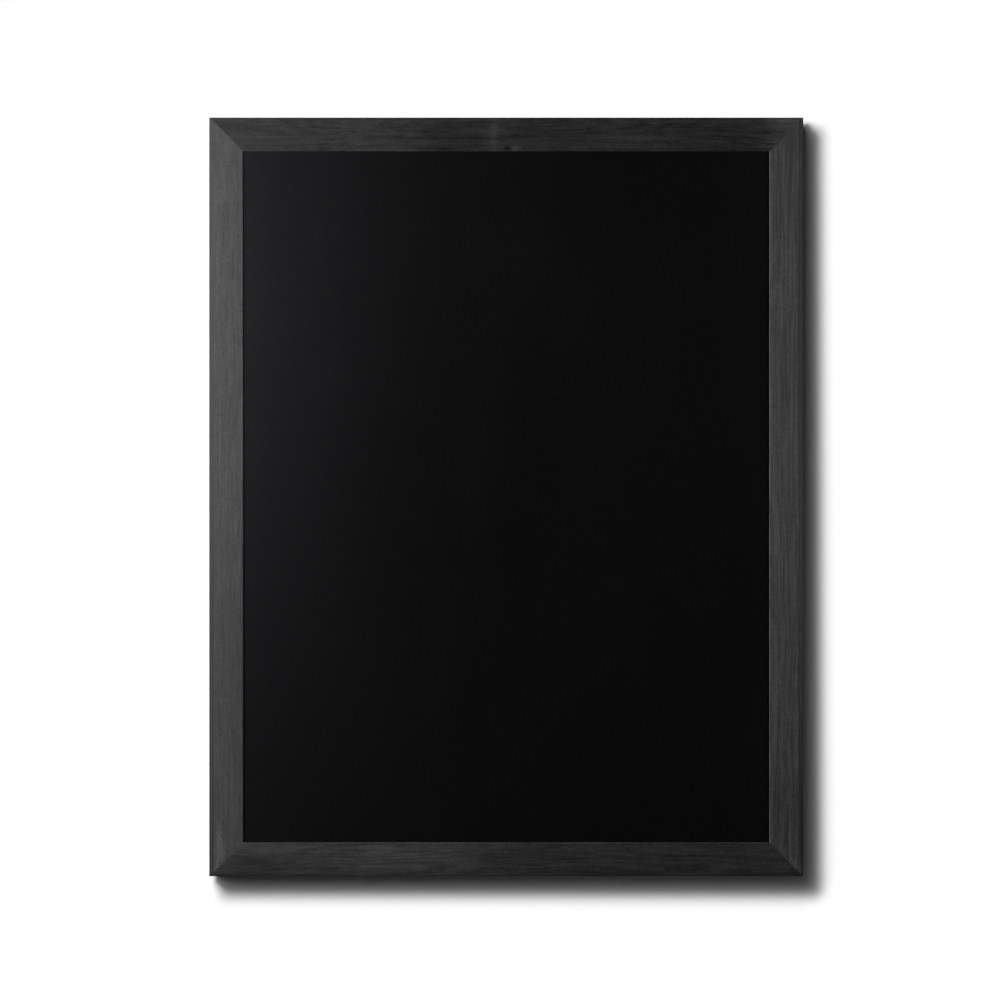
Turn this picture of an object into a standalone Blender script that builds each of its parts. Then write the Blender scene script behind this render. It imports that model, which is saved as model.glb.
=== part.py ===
import math

import bmesh
import bpy
from mathutils import Matrix, Vector

# Wall chalkboard: a mitred moulding frame round a black writing sheet.
# Front faces -Y, the wall is the plane Y = 0, +Z is up, +X is the viewer's right.
# The origin is on the wall, midway between the hooks that carry the two rings.

# Frame and moulding
BOARD_WIDTH = 0.700
BOARD_HEIGHT = 0.894
MEMBER_WIDTH = 0.040
MEMBER_THICKNESS = 0.018
OUTER_ROUND_WIDTH = 0.0065
OUTER_ROUND_DROP = 0.0030
INNER_ROUND_WIDTH = 0.0020
INNER_ROUND_DROP = 0.0012
CROWN_RISE = 0.0005
BACK_ARRIS = 0.0006
LIP_DEPTH = 0.0040
REBATE_WIDTH = 0.0100

# Panel held in the rebate
SHEET_THICKNESS = 0.0008
BACKING_THICKNESS = 0.0030
PANEL_EDGE_CLEARANCE = 0.0008
PANEL_CORNER_RADIUS = 0.0015

# Corner nails, driven from the back
NAIL_LEG = 0.0062
NAIL_HOOK = 0.0012
NAIL_STEEL = 0.0005
NAIL_DEPTH = 0.0100
NAIL_SUNK = 0.0006
NAIL_FROM_CORNER = (0.0085, 0.0200)

# Tabs that hold the panel in
TAB_LENGTH = 0.0155
TAB_WIDTH = 0.0060
TAB_STEEL = 0.0006
TAB_DRIVEN = 0.0070
TAB_POINT = 0.0030
TABS_PER_STILE = 4
TABS_PER_RAIL = 3
TAB_END_MARGIN = 0.0900

# Strap hangers and their rings
HANGER_FROM_TOP = 0.1100
HANGER_FROM_EDGE = 0.0150
STRAP_WIDTH = 0.0120
STRAP_STEEL = 0.0012
STRAP_LENGTH = 0.0300
STRAP_HOLE_RADIUS = 0.0020
STRAP_END_RADIUS = 0.0045
SCREW_FROM_PIVOT = (0.0085, 0.0240)
RING_WIRE_RADIUS = 0.0011
RING_RUNNING_CLEARANCE = 0.00035
RING_HALF_WIDTH = 0.0084
RING_REACH = 0.0130
RING_CORNER_RADIUS = 0.0020
EYE_WRAP_DEGREES = 285.0

# Wood screws
SCREW_HEAD_RADIUS = 0.0031
SCREW_HEAD_HEIGHT = 0.0021
SCREW_HEAD_RIM = 0.0007
SCREW_CROWN_FLAT_SHARE = 0.5
SCREW_SHANK_RADIUS = 0.0014
SCREW_LENGTH = 0.0120
SCREW_POINT = 0.0030
SCREW_TIP_RADIUS = 0.0002
RECESS_SPAN = 0.0034
RECESS_SLOT = 0.0008
RECESS_DEPTH = 0.0011

# Wall pads
PAD_BASE_RADIUS = 0.0062
PAD_FACE_RADIUS = 0.0052
PAD_HEIGHT = 0.0060
PAD_EDGE_ROUND = 0.0006
PAD_FROM_END = 0.0560

# Fits
FIT_GAP = 0.0003
CUT_OVERRUN = 0.0020
WELD_DISTANCE = 0.00001

# Smoothness of round shapes
ROUND_STEPS = 24
HOLE_SIDES = 20
ARC_STEPS = 7
RING_ARC_STEPS = 16
RING_WIRE_STEPS = 3
EYE_STEPS = 20
SHARP_DEGREES = 35.0
FLAT_DEGREES = 0.5

# Places that follow from the sizes above
WOOD_BACK_Y = -(PAD_HEIGHT + FIT_GAP)
EYE_INNER_RADIUS = RING_WIRE_RADIUS + RING_RUNNING_CLEARANCE
EYE_OUTER_RADIUS = EYE_INNER_RADIUS + STRAP_STEEL
PIVOT_ABOVE_WOOD = FIT_GAP + EYE_OUTER_RADIUS
RING_LEAN = math.asin((PIVOT_ABOVE_WOOD - RING_WIRE_RADIUS - FIT_GAP) / RING_REACH)
PIVOT_Y = WOOD_BACK_Y + PIVOT_ABOVE_WOOD
PIVOT_Z = -(RING_REACH - RING_WIRE_RADIUS) * math.cos(RING_LEAN)
PIVOT_X = BOARD_WIDTH / 2 - HANGER_FROM_EDGE
BOARD_TOP_Z = PIVOT_Z + HANGER_FROM_TOP
BOARD_MIDDLE_Z = BOARD_TOP_Z - BOARD_HEIGHT / 2
REBATE_FLOOR = MEMBER_THICKNESS - LIP_DEPTH
SHEET_BACK = REBATE_FLOOR - FIT_GAP - SHEET_THICKNESS
BACKING_BACK = SHEET_BACK - FIT_GAP - BACKING_THICKNESS
TAB_MIDDLE = BACKING_BACK - FIT_GAP - TAB_STEEL / 2
REBATE_WALL = MEMBER_WIDTH - REBATE_WIDTH
PANEL_INSET = REBATE_WALL + PANEL_EDGE_CLEARANCE

# Turn of each frame member about Y: the bottom rail's section is the pattern
TURNS = {
    "bottom_rail": 0,
    "left_stile": 90,
    "top_rail": 180,
    "right_stile": 270,
}


def clear_scene():
    for item in list(bpy.data.objects):
        bpy.data.objects.remove(item, do_unlink=True)


def make_collection(name):
    collection = bpy.data.collections.new(name)
    bpy.context.scene.collection.children.link(collection)
    return collection


def make_material(name, colour, roughness, metallic):
    material = bpy.data.materials.new(name)
    material.use_nodes = True
    shader = material.node_tree.nodes["Principled BSDF"]
    shader.inputs["Base Color"].default_value = (*colour, 1.0)
    shader.inputs["Roughness"].default_value = roughness
    shader.inputs["Metallic"].default_value = metallic
    material.diffuse_color = (*colour, 1.0)
    return material


def stained_wood():
    return make_material("stained_wood", (0.045, 0.044, 0.043), 0.48, 0.0)


def writing_surface():
    return make_material("writing_surface", (0.012, 0.012, 0.013), 0.55, 0.0)


def hardboard():
    return make_material("hardboard", (0.20, 0.115, 0.06), 0.75, 0.0)


def bright_steel():
    return make_material("bright_steel", (0.55, 0.55, 0.54), 0.32, 1.0)


def zinc_plate():
    return make_material("zinc_plate", (0.62, 0.63, 0.62), 0.26, 1.0)


def black_rubber():
    return make_material("black_rubber", (0.02, 0.02, 0.02), 0.8, 0.0)


def arc(centre, radius, start_degrees, end_degrees, steps):
    """Points on an arc, both ends included."""
    points = []
    for step in range(steps + 1):
        angle = math.radians(start_degrees + (end_degrees - start_degrees) * step / steps)
        x = centre[0] + radius * math.cos(angle)
        y = centre[1] + radius * math.sin(angle)
        points.append((x, y))
    return points


def outline_curve(name, points, half_height):
    """A filled flat outline in XY, extruded half_height each way along Z."""
    curve = bpy.data.curves.new(name, "CURVE")
    curve.dimensions = "2D"
    curve.fill_mode = "BOTH"
    curve.extrude = half_height
    spline = curve.splines.new("POLY")
    spline.points.add(len(points) - 1)
    for point, (x, y) in zip(spline.points, points):
        point.co = (x, y, 0.0, 1.0)
    spline.use_cyclic_u = True
    return bpy.data.objects.new(name, curve)


def as_mesh_object(curve_object, collection):
    """Replace a curve object by a closed mesh object of the same name and place."""
    name = curve_object.name
    bpy.context.scene.collection.objects.link(curve_object)
    bpy.context.view_layer.update()
    graph = bpy.context.evaluated_depsgraph_get()
    mesh = bpy.data.meshes.new_from_object(curve_object.evaluated_get(graph))
    place = curve_object.matrix_world.copy()
    bpy.data.objects.remove(curve_object, do_unlink=True)
    shell = bmesh.new()
    shell.from_mesh(mesh)
    bmesh.ops.remove_doubles(shell, verts=shell.verts, dist=WELD_DISTANCE)
    bmesh.ops.dissolve_limit(
        shell,
        angle_limit=math.radians(FLAT_DEGREES),
        verts=shell.verts,
        edges=shell.edges,
    )
    bmesh.ops.recalc_face_normals(shell, faces=shell.faces)
    shell.to_mesh(mesh)
    shell.free()
    mesh.name = name
    item = bpy.data.objects.new(name, mesh)
    item.matrix_world = place
    collection.objects.link(item)
    return item


def prism(name, points, half_height, collection):
    return as_mesh_object(outline_curve(name, points, half_height), collection)


def box(name, size, collection):
    shell = bmesh.new()
    bmesh.ops.create_cube(shell, size=1.0)
    bmesh.ops.scale(shell, vec=size, verts=shell.verts)
    mesh = bpy.data.meshes.new(name)
    shell.to_mesh(mesh)
    shell.free()
    item = bpy.data.objects.new(name, mesh)
    collection.objects.link(item)
    return item


def cylinder(name, radius, length, collection):
    shell = bmesh.new()
    bmesh.ops.create_cone(
        shell,
        cap_ends=True,
        segments=HOLE_SIDES,
        radius1=radius,
        radius2=radius,
        depth=length,
    )
    mesh = bpy.data.meshes.new(name)
    shell.to_mesh(mesh)
    shell.free()
    item = bpy.data.objects.new(name, mesh)
    collection.objects.link(item)
    return item


def turned(name, profile, collection):
    """A turned shape round Z from a profile that runs down its outer side."""
    mesh = bpy.data.meshes.new(name)
    edges = [(index, index + 1) for index in range(len(profile) - 1)]
    mesh.from_pydata([(radius, 0.0, height) for radius, height in profile], edges, [])
    item = bpy.data.objects.new(name, mesh)
    collection.objects.link(item)
    screw = item.modifiers.new("turn", "SCREW")
    screw.axis = "Z"
    screw.steps = ROUND_STEPS
    screw.render_steps = ROUND_STEPS
    screw.use_merge_vertices = True
    screw.merge_threshold = WELD_DISTANCE
    screw.use_smooth_shade = True
    return item


def smooth_round_parts(item):
    item.data.shade_smooth()
    item.data.set_sharp_from_angle(angle=math.radians(SHARP_DEGREES))


def keep_flats_flat(item):
    """Weight the shading by face area, so that cuts leave flat faces looking flat."""
    weighted = item.modifiers.new("flat_faces", "WEIGHTED_NORMAL")
    weighted.mode = "FACE_AREA"
    weighted.keep_sharp = True


def guide_only(item):
    item.hide_render = True
    item.display_type = "WIRE"


def cut(item, cutter, operation="DIFFERENCE"):
    guide_only(cutter)
    modifier = item.modifiers.new(cutter.name, "BOOLEAN")
    modifier.operation = operation
    modifier.object = cutter
    modifier.solver = "EXACT"


def member_matrix(turn_degrees, half_span):
    """Member axes: X runs in from the outer edge, Y from the wood's back to its front, Z along it."""
    pattern = Matrix(((0, 0, 1), (0, -1, 0), (1, 0, 0))).to_4x4()
    turn = Matrix.Rotation(math.radians(turn_degrees), 4, "Y")
    middle = Matrix.Translation(Vector((0.0, WOOD_BACK_Y, BOARD_MIDDLE_Z)))
    edge = Matrix.Translation(Vector((0.0, 0.0, -half_span)))
    return middle @ turn @ edge @ pattern


def half_span(name):
    return BOARD_HEIGHT / 2 if name.endswith("rail") else BOARD_WIDTH / 2


def half_length(name):
    return BOARD_WIDTH / 2 if name.endswith("rail") else BOARD_HEIGHT / 2


def member_place(name):
    return member_matrix(TURNS[name], half_span(name))


def crown_height(across):
    """Height of the face between its two rounded edges, highest at the middle."""
    start = OUTER_ROUND_WIDTH
    end = MEMBER_WIDTH - INNER_ROUND_WIDTH
    share = (across - start) / (end - start)
    return MEMBER_THICKNESS - CROWN_RISE * (2 * share - 1) ** 2


def moulding_profile():
    """Section of the moulding: X in from the outer edge, Y up from the back."""
    shoulder = MEMBER_THICKNESS - CROWN_RISE
    points = [(BACK_ARRIS, 0.0), (0.0, BACK_ARRIS)]
    for step in range(ARC_STEPS + 1):
        angle = math.pi / 2 * step / ARC_STEPS
        x = OUTER_ROUND_WIDTH * (1 - math.cos(angle))
        y = shoulder - OUTER_ROUND_DROP * (1 - math.sin(angle))
        points.append((x, y))
    for step in range(1, ARC_STEPS):
        span = MEMBER_WIDTH - INNER_ROUND_WIDTH - OUTER_ROUND_WIDTH
        x = OUTER_ROUND_WIDTH + span * step / ARC_STEPS
        points.append((x, crown_height(x)))
    for step in range(ARC_STEPS + 1):
        angle = math.pi / 2 * step / ARC_STEPS
        x = MEMBER_WIDTH - INNER_ROUND_WIDTH * (1 - math.sin(angle))
        y = shoulder - INNER_ROUND_DROP * (1 - math.cos(angle))
        points.append((x, y))
    points.append((MEMBER_WIDTH, REBATE_FLOOR))
    points.append((REBATE_WALL, REBATE_FLOOR))
    points.append((REBATE_WALL, BACK_ARRIS))
    points.append((REBATE_WALL - BACK_ARRIS, 0.0))
    return points


def mitre_ends(item, reach):
    """Slide each end vertex in by its distance from the outer edge, less half the joint's gap."""
    joint = FIT_GAP / 2 * math.sqrt(2)
    for vertex in item.data.vertices:
        side = math.copysign(1.0, vertex.co.z)
        vertex.co.z = side * (reach - joint - vertex.co.x)


def make_member(name, material, parts):
    reach = half_length(name)
    item = prism(name, moulding_profile(), reach, parts)
    mitre_ends(item, reach)
    item.data.materials.append(material)
    smooth_round_parts(item)
    item.matrix_world = member_place(name)
    return item


def strip_outline(path, width, extend):
    """Outline of a bent strip: both sides of its centre line, mitred at the bends."""
    centre = [Vector(point) for point in path]
    centre[0] += (centre[0] - centre[1]).normalized() * extend
    centre[-1] += (centre[-1] - centre[-2]).normalized() * extend
    one_side = []
    other_side = []
    for index, point in enumerate(centre):
        before = (point - centre[max(index - 1, 0)]).normalized()
        after = (centre[min(index + 1, len(centre) - 1)] - point).normalized()
        before = before if before.length else after
        after = after if after.length else before
        along = (before + after).normalized()
        across = Vector((-along.y, along.x))
        reach = width / 2 / along.dot(after)
        one_side.append(tuple(point + across * reach))
        other_side.append(tuple(point - across * reach))
    return one_side + other_side[::-1]


def nail_path(from_corner):
    """Centre line of a corner nail, seen from the back, with the frame's outer corner at zero."""
    end = from_corner + NAIL_LEG
    hook = NAIL_HOOK / math.sqrt(2)
    return [
        (end + hook, from_corner + hook),
        (end, from_corner),
        (from_corner, from_corner),
        (from_corner, end),
        (from_corner + hook, end + hook),
    ]


def corner_matrix(side_x, side_z):
    """Corner axes: X and Y run in from the outer corner along the edges, Z is depth from the back."""
    x = side_x * BOARD_WIDTH / 2
    z = BOARD_MIDDLE_Z + side_z * BOARD_HEIGHT / 2
    return Matrix(
        (
            (-side_x, 0.0, 0.0, x),
            (0.0, 0.0, -side_x * side_z, WOOD_BACK_Y),
            (0.0, -side_z, 0.0, z),
            (0.0, 0.0, 0.0, 1.0),
        )
    )


def into_wood(side_x, side_z):
    """Sign of the corner axes' depth direction that points to the board's front."""
    return side_x * side_z


def make_nail(name, side_x, side_z, from_corner, members, material, parts, cutters):
    depth_sign = into_wood(side_x, side_z)
    path = nail_path(from_corner)
    place = corner_matrix(side_x, side_z)
    nail = prism(name, strip_outline(path, NAIL_STEEL, 0.0), NAIL_DEPTH / 2, parts)
    depth = NAIL_SUNK + NAIL_DEPTH / 2
    nail.matrix_world = place @ Matrix.Translation((0.0, 0.0, depth_sign * depth))
    nail.data.materials.append(material)
    slot_floor = NAIL_SUNK + NAIL_DEPTH + FIT_GAP
    slot_height = slot_floor + CUT_OVERRUN
    outline = strip_outline(path, NAIL_STEEL + 2 * FIT_GAP, FIT_GAP)
    slot = prism(name + "_slot", outline, slot_height / 2, cutters)
    slot_middle = slot_floor - slot_height / 2
    slot.matrix_world = place @ Matrix.Translation((0.0, 0.0, depth_sign * slot_middle))
    for member in members:
        cut(member, slot)


def make_nails(members, material, parts, cutters):
    corners = {
        "top_left": (-1, 1, "top_rail", "left_stile"),
        "top_right": (1, 1, "top_rail", "right_stile"),
        "bottom_left": (-1, -1, "bottom_rail", "left_stile"),
        "bottom_right": (1, -1, "bottom_rail", "right_stile"),
    }
    for corner, (side_x, side_z, rail, stile) in corners.items():
        pair = (members[rail], members[stile])
        for label, from_corner in zip(("outer", "inner"), NAIL_FROM_CORNER):
            name = f"v_nail_{corner}_{label}"
            make_nail(name, side_x, side_z, from_corner, pair, material, parts, cutters)


def tab_outline():
    """Flat pointed tab: X runs in over the panel, zero at the rebate wall."""
    half = TAB_WIDTH / 2
    shoulder = -TAB_DRIVEN + TAB_POINT
    return [
        (-TAB_DRIVEN, 0.0),
        (shoulder, -half),
        (TAB_LENGTH - TAB_DRIVEN, -half),
        (TAB_LENGTH - TAB_DRIVEN, half),
        (shoulder, half),
    ]


def tab_slot_outline():
    half = TAB_WIDTH / 2 + FIT_GAP
    floor = -(TAB_DRIVEN + 2 * FIT_GAP)
    shoulder = -TAB_DRIVEN + TAB_POINT
    return [
        (floor, -FIT_GAP),
        (shoulder, -half),
        (CUT_OVERRUN, -half),
        (CUT_OVERRUN, half),
        (shoulder, half),
        (floor, FIT_GAP),
    ]


def tab_places(reach, count):
    """Evenly spaced places along a member, the same distance from both ends."""
    first = -(reach - TAB_END_MARGIN)
    step = -2 * first / (count - 1)
    return [first + step * index for index in range(count)]


def make_tabs(members, material, parts, cutters):
    flat = Matrix.Rotation(math.radians(90), 4, "X")
    for member_name, member in members.items():
        count = TABS_PER_RAIL if member_name.endswith("rail") else TABS_PER_STILE
        frame = member_place(member_name)
        for index, along in enumerate(tab_places(half_length(member_name), count)):
            name = f"panel_tab_{member_name}_{index + 1}"
            at = Matrix.Translation((REBATE_WALL, TAB_MIDDLE, along))
            tab = prism(name, tab_outline(), TAB_STEEL / 2, parts)
            tab.matrix_world = frame @ at @ flat
            tab.data.materials.append(material)
            slot_half = TAB_STEEL / 2 + FIT_GAP
            slot = prism(name + "_slot", tab_slot_outline(), slot_half, cutters)
            slot.matrix_world = frame @ at @ flat
            cut(member, slot)


def rounded_rectangle(half_x, half_y, radius):
    points = []
    for turn, (side_x, side_y) in enumerate(((1, 1), (-1, 1), (-1, -1), (1, -1))):
        centre = (side_x * (half_x - radius), side_y * (half_y - radius))
        start = 90.0 * turn
        points += arc(centre, radius, start, start + 90.0, ARC_STEPS)
    return points


def make_panel_layer(name, back, thickness, material, parts):
    half_x = BOARD_WIDTH / 2 - PANEL_INSET
    half_y = BOARD_HEIGHT / 2 - PANEL_INSET
    outline = rounded_rectangle(half_x, half_y, PANEL_CORNER_RADIUS)
    item = prism(name, outline, thickness / 2, parts)
    item.data.materials.append(material)
    item.rotation_euler = (math.radians(90), 0.0, 0.0)
    item.location = (0.0, WOOD_BACK_Y - back - thickness / 2, BOARD_MIDDLE_Z)
    return item


def eye_profile():
    """Side view of the strap: X is down the strap from the pivot, Y is off the wood's back."""
    centre = (0.0, PIVOT_ABOVE_WOOD)
    end_angle = 270.0 - EYE_WRAP_DEGREES
    outer = arc(centre, EYE_OUTER_RADIUS, 270.0, end_angle, EYE_STEPS)
    inner = arc(centre, EYE_INNER_RADIUS, end_angle, 270.0, EYE_STEPS)
    foot = [(STRAP_LENGTH, FIT_GAP + STRAP_STEEL), (STRAP_LENGTH, FIT_GAP)]
    return outer + inner + foot


def strap_plan():
    """The strap seen from the back: straight sides and a rounded lower end."""
    half = STRAP_WIDTH / 2
    top = -(EYE_OUTER_RADIUS + CUT_OVERRUN)
    inner_x = STRAP_LENGTH - STRAP_END_RADIUS
    inner_y = half - STRAP_END_RADIUS
    lower = arc((inner_x, -inner_y), STRAP_END_RADIUS, -90.0, 0.0, ARC_STEPS)
    upper = arc((inner_x, inner_y), STRAP_END_RADIUS, 0.0, 90.0, ARC_STEPS)
    return [(top, half), (top, -half)] + lower + upper


def hanger_matrix(side):
    """Hanger axes: X runs down from the pivot, Y off the wood's back, Z across the strap."""
    return Matrix(
        (
            (0.0, 0.0, 1.0, side * PIVOT_X),
            (0.0, 1.0, 0.0, WOOD_BACK_Y),
            (-1.0, 0.0, 0.0, PIVOT_Z),
            (0.0, 0.0, 0.0, 1.0),
        )
    )


def strap_hole(name, down, place, cutters):
    length = STRAP_STEEL + 2 * CUT_OVERRUN
    hole = cylinder(name, STRAP_HOLE_RADIUS, length, cutters)
    across = Matrix.Rotation(math.radians(90), 4, "X")
    height = FIT_GAP + STRAP_STEEL / 2
    hole.matrix_world = place @ Matrix.Translation((down, height, 0.0)) @ across
    return hole


def make_strap(label, side, material, parts, cutters):
    place = hanger_matrix(side)
    name = f"{label}_strap"
    strap = prism(name, eye_profile(), STRAP_WIDTH / 2 + CUT_OVERRUN, parts)
    strap.matrix_world = place
    strap.data.materials.append(material)
    smooth_round_parts(strap)
    plan = prism(name + "_plan", strap_plan(), EYE_OUTER_RADIUS + CUT_OVERRUN, cutters)
    lay_flat = Matrix.Rotation(math.radians(90), 4, "X")
    plan.matrix_world = place @ Matrix.Translation((0.0, PIVOT_ABOVE_WOOD, 0.0)) @ lay_flat
    cut(strap, plan, "INTERSECT")
    for index, down in enumerate(SCREW_FROM_PIVOT):
        cut(strap, strap_hole(f"{name}_hole_{index + 1}", down, place, cutters))
    return strap


def ring_path():
    """D-shaped centre line: the straight bar on X at zero, the bow towards +Y."""
    half = RING_HALF_WIDTH
    corner = RING_CORNER_RADIUS
    bow_y = RING_REACH - half
    points = arc((-(half - corner), corner), corner, 180.0, 270.0, ARC_STEPS)
    points += arc((half - corner, corner), corner, 270.0, 360.0, ARC_STEPS)
    points += arc((0.0, bow_y), half, 0.0, 180.0, RING_ARC_STEPS)
    return points


def make_ring(label, side, material, parts):
    curve = bpy.data.curves.new(f"{label}_ring", "CURVE")
    curve.dimensions = "3D"
    curve.bevel_depth = RING_WIRE_RADIUS
    curve.bevel_resolution = RING_WIRE_STEPS
    path = ring_path()
    spline = curve.splines.new("POLY")
    spline.points.add(len(path) - 1)
    for point, (x, y) in zip(spline.points, path):
        point.co = (x, y, 0.0, 1.0)
    spline.use_cyclic_u = True
    spline.use_smooth = True
    ring = bpy.data.objects.new(f"{label}_ring", curve)
    curve.materials.append(material)
    parts.objects.link(ring)
    pivot = bpy.data.objects.new(f"{label}_pivot", None)
    parts.objects.link(pivot)
    pivot.location = (side * PIVOT_X, PIVOT_Y, PIVOT_Z)
    pivot.rotation_euler = (math.radians(90) + RING_LEAN, 0.0, 0.0)
    ring.parent = pivot
    return ring


def screw_profile():
    """Pan head with a rounded crown, straight shank and a turned point."""
    flat_radius = SCREW_HEAD_RADIUS * SCREW_CROWN_FLAT_SHARE
    points = [(0.0, SCREW_HEAD_HEIGHT)]
    rise = SCREW_HEAD_HEIGHT - SCREW_HEAD_RIM
    for step in range(ARC_STEPS + 1):
        angle = math.pi / 2 * step / ARC_STEPS
        radius = flat_radius + (SCREW_HEAD_RADIUS - flat_radius) * math.sin(angle)
        points.append((radius, SCREW_HEAD_RIM + rise * math.cos(angle)))
    points.append((SCREW_HEAD_RADIUS, 0.0))
    points.append((SCREW_SHANK_RADIUS, 0.0))
    points.append((SCREW_SHANK_RADIUS, SCREW_POINT - SCREW_LENGTH))
    points.append((SCREW_TIP_RADIUS, -SCREW_LENGTH))
    points.append((0.0, -SCREW_LENGTH))
    return points


def make_screw(name, side, down, stile, material, parts, cutters):
    head_seat = WOOD_BACK_Y + FIT_GAP + STRAP_STEEL + FIT_GAP
    spot = Vector((side * PIVOT_X, head_seat, PIVOT_Z - down))
    out_of_wood = Matrix.Rotation(math.radians(-90), 4, "X")
    place = Matrix.Translation(spot) @ out_of_wood
    screw = turned(name, screw_profile(), parts)
    screw.matrix_world = place
    screw.data.materials.append(material)
    height = RECESS_DEPTH + CUT_OVERRUN
    lift = SCREW_HEAD_HEIGHT - RECESS_DEPTH + height / 2
    for label, size in (
        ("recess_across", (RECESS_SPAN, RECESS_SLOT, height)),
        ("recess_upright", (RECESS_SLOT, RECESS_SPAN, height)),
    ):
        recess = box(f"{name}_{label}", size, cutters)
        recess.matrix_world = place @ Matrix.Translation((0.0, 0.0, lift))
        cut(screw, recess)
    hole_floor = SCREW_LENGTH + FIT_GAP
    hole = cylinder(name + "_pilot", SCREW_SHANK_RADIUS + FIT_GAP, hole_floor, cutters)
    hole.matrix_world = place @ Matrix.Translation((0.0, 0.0, -hole_floor / 2))
    cut(stile, hole)


def make_hangers(members, strap_metal, screw_metal, parts, cutters):
    for label, side in (("left", -1), ("right", 1)):
        make_strap(label, side, strap_metal, parts, cutters)
        make_ring(label, side, strap_metal, parts)
        stile = members[f"{label}_stile"]
        for place, down in zip(("upper", "lower"), SCREW_FROM_PIVOT):
            name = f"{label}_{place}_screw"
            make_screw(name, side, down, stile, screw_metal, parts, cutters)


def pad_profile():
    edge = arc(
        (PAD_FACE_RADIUS - PAD_EDGE_ROUND, PAD_HEIGHT - PAD_EDGE_ROUND),
        PAD_EDGE_ROUND,
        90.0,
        0.0,
        ARC_STEPS,
    )
    return [(0.0, PAD_HEIGHT)] + edge + [(PAD_BASE_RADIUS, 0.0), (0.0, 0.0)]


def make_pads(material, parts):
    for side_z, height_label in ((1, "top"), (-1, "bottom")):
        for side_x, side_label in ((-1, "left"), (1, "right")):
            pad = turned(f"wall_pad_{height_label}_{side_label}", pad_profile(), parts)
            x = side_x * (BOARD_WIDTH / 2 - REBATE_WALL / 2)
            z = BOARD_MIDDLE_Z + side_z * (BOARD_HEIGHT / 2 - PAD_FROM_END)
            pad.location = (x, WOOD_BACK_Y + FIT_GAP, z)
            pad.rotation_euler = (math.radians(-90), 0.0, 0.0)
            pad.data.materials.append(material)


def main():
    clear_scene()
    parts = make_collection("wall_chalkboard")
    cutters = make_collection("cutters")
    wood = stained_wood()
    steel = bright_steel()
    zinc = zinc_plate()
    members = {name: make_member(name, wood, parts) for name in TURNS}
    make_panel_layer("writing_sheet", SHEET_BACK, SHEET_THICKNESS, writing_surface(), parts)
    make_panel_layer("backing_board", BACKING_BACK, BACKING_THICKNESS, hardboard(), parts)
    make_nails(members, steel, parts, cutters)
    make_tabs(members, steel, parts, cutters)
    make_hangers(members, zinc, steel, parts, cutters)
    make_pads(black_rubber(), parts)
    for item in parts.objects:
        if any(modifier.type == "BOOLEAN" for modifier in item.modifiers):
            keep_flats_flat(item)


main()
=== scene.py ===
import math

import bmesh
import bpy
import numpy as np
from mathutils import Matrix, Vector, noise


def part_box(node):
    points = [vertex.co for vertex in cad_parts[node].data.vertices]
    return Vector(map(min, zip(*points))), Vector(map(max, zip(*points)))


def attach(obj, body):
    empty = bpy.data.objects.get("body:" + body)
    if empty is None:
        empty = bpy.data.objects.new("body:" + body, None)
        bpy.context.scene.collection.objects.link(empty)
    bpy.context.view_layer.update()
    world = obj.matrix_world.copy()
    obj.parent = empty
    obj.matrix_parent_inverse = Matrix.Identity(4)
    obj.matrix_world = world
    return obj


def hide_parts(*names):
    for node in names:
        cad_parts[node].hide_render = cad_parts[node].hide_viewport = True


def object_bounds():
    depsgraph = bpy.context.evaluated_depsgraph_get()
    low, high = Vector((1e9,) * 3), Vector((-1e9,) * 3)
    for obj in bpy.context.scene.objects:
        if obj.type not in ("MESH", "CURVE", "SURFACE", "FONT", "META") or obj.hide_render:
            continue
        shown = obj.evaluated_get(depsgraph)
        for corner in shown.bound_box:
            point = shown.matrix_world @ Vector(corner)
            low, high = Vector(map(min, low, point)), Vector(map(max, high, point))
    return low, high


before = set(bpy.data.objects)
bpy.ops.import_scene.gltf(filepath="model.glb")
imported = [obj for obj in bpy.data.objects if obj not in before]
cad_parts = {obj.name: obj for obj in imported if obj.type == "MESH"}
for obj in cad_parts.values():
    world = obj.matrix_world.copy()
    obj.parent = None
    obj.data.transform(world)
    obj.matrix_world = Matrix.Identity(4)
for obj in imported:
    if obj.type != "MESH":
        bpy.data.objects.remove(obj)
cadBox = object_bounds()
print("frame loaded,", len(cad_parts), "nodes")

mm = 0.001

boardLow, boardHigh = cadBox
middleX = (boardLow.x + boardHigh.x) / 2
middleZ = (boardLow.z + boardHigh.z) / 2
halfWidth = (boardHigh.x - boardLow.x) / 2
halfHeight = (boardHigh.z - boardLow.z) / 2
frontY = boardLow.y
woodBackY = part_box("top_rail")[1].y
fitGap = 0.3 * mm  # between pieces that touch
panelRoom = 0.8 * mm  # between the panel's edges and the rebate
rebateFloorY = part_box("writing_sheet")[0].y - fitGap
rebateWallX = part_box("backing_board")[0].x - panelRoom


# Camera: straight on, framed as the photograph is

camera = {
    "distance": 8.0,  # from the frame's face to the lens
    "outlineDepth": 3.5 * mm,  # how far behind the face its outline lies
    "scale": 1.17845 * mm,  # one image pixel at the outline's depth
    "sensor": 36.0,
    "pixels": 1000,
    "boardRight": 6.25,  # how far the board sits right of the image's middle, in pixels
    "boardUp": 3.1,
}


def newObject(name, data):
    item = bpy.data.objects.new(name, data)
    bpy.context.scene.collection.objects.link(item)
    return item


def placeCamera():
    data = bpy.data.cameras.new("camera")
    data.sensor_width = camera["sensor"]
    reach = camera["distance"] + camera["outlineDepth"]
    data.lens = camera["sensor"] * reach / (camera["scale"] * camera["pixels"])
    data.shift_x = -camera["boardRight"] / camera["pixels"]
    data.shift_y = -camera["boardUp"] / camera["pixels"]
    data.clip_start = 0.01
    item = newObject("camera", data)
    item.location = (middleX, frontY - camera["distance"], middleZ)
    item.rotation_euler = (math.radians(90), 0, 0)
    bpy.context.scene.camera = item


# Shader helpers

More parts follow.
